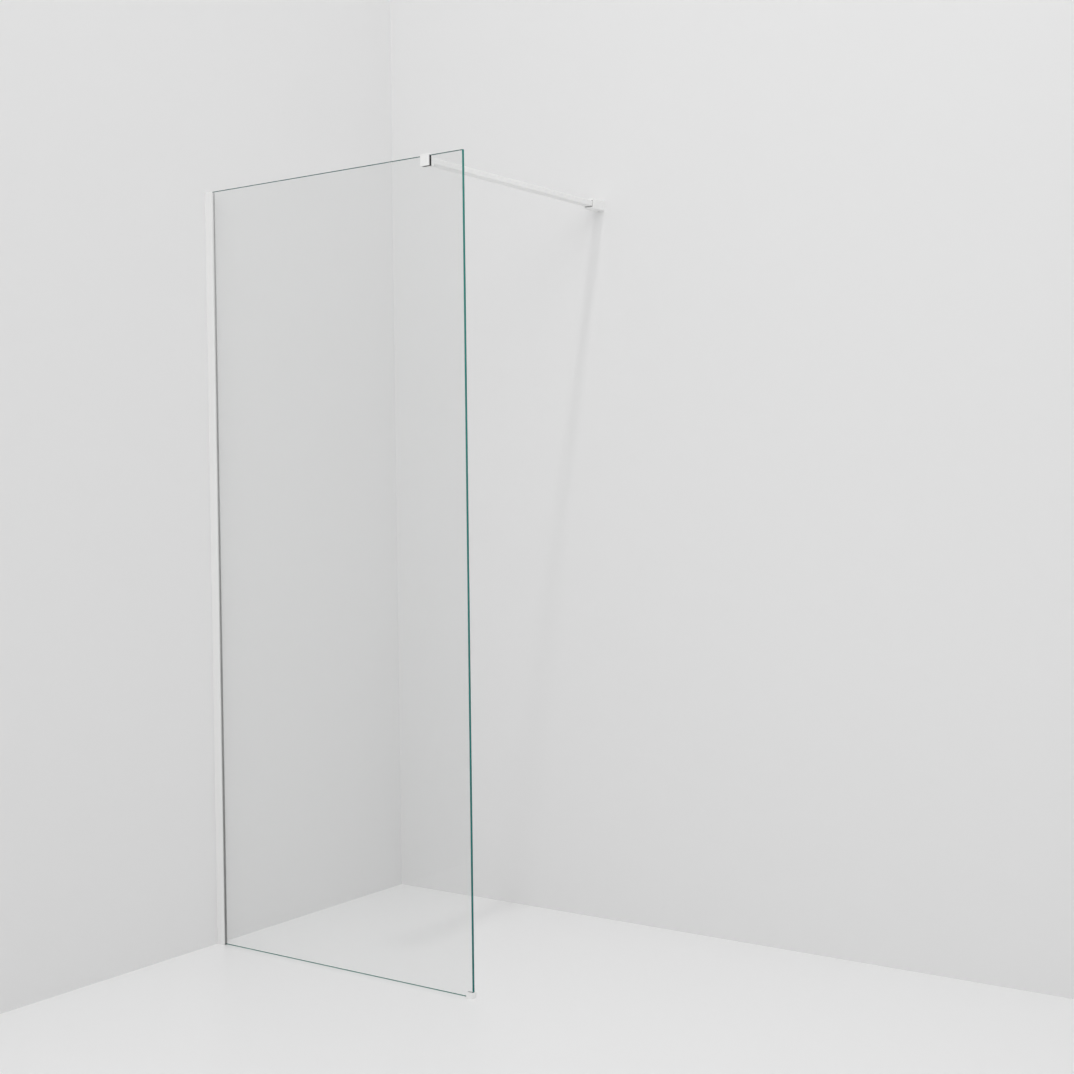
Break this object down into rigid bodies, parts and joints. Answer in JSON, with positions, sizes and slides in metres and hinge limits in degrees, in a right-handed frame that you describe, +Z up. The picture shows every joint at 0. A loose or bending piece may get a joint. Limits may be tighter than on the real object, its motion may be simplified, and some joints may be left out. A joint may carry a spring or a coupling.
{
  "type": "walk-in shower screen",
  "caption": "Frameless glass walk-in shower screen in a slim wall channel, its top edge clamped to a square support bar that runs back to the rear wall.",
  "frame": {"origin": "on the floor at the foot of the wall channel, where its back meets the side wall, at the middle of the glass thickness", "axes": "+X along the glass from the side wall to its free edge, +Y from the glass to the rear wall, +Z up"},
  "size_m": [0.9015, 0.8095, 2.103],
  "materials": {
    "white_paint": "satin powder coat",
    "white_plastic": "satin",
    "clear_glass": "polished clear",
    "grey_rubber": "matte",
    "black_rubber": "matte",
    "black_plastic": "matte",
    "screw_steel": "stainless"
  },
  "bodies": {
    "wall_frame": {"wall_channel": "white_paint", "top_cap": "white_plastic", "slot_covers": "white_plastic"},
    "glass_unit": {"glazing_channel": "white_paint", "glazing_gasket": "grey_rubber", "lock_screws": "screw_steel", "glass_panel": "clear_glass", "setting_block": "black_plastic", "corner_shoe": "white_paint", "shoe_liner": "grey_rubber"},
    "bar_unit": {"clamp_body": "white_paint", "clamp_pad_front": "black_rubber", "clamp_pad_rear": "black_rubber", "pressure_plate": "screw_steel", "clamp_set_screw": "screw_steel", "support_bar": "white_paint", "bar_fixing_screws": "screw_steel"},
    "wall_end": {"wall_block": "white_paint", "bar_bush": "black_plastic", "bar_set_screw": "screw_steel", "wall_bracket": "screw_steel", "bracket_set_screw": "screw_steel"}
  },
  "joints": [
    {"name": "glass_adjust", "type": "slide", "parent": "wall_frame", "child": "glass_unit", "axis": [1, 0, 0], "range_m": [-0.005, 0.008]},
    {"name": "clamp_slide", "type": "slide", "parent": "glass_unit", "child": "bar_unit", "axis": [1, 0, 0], "range_m": [-0.7, 0.09]},
    {"name": "bar_telescope", "type": "slide", "parent": "bar_unit", "child": "wall_end", "axis": [0, 1, 0], "range_m": [-0.014, 0.01]}
  ]
}
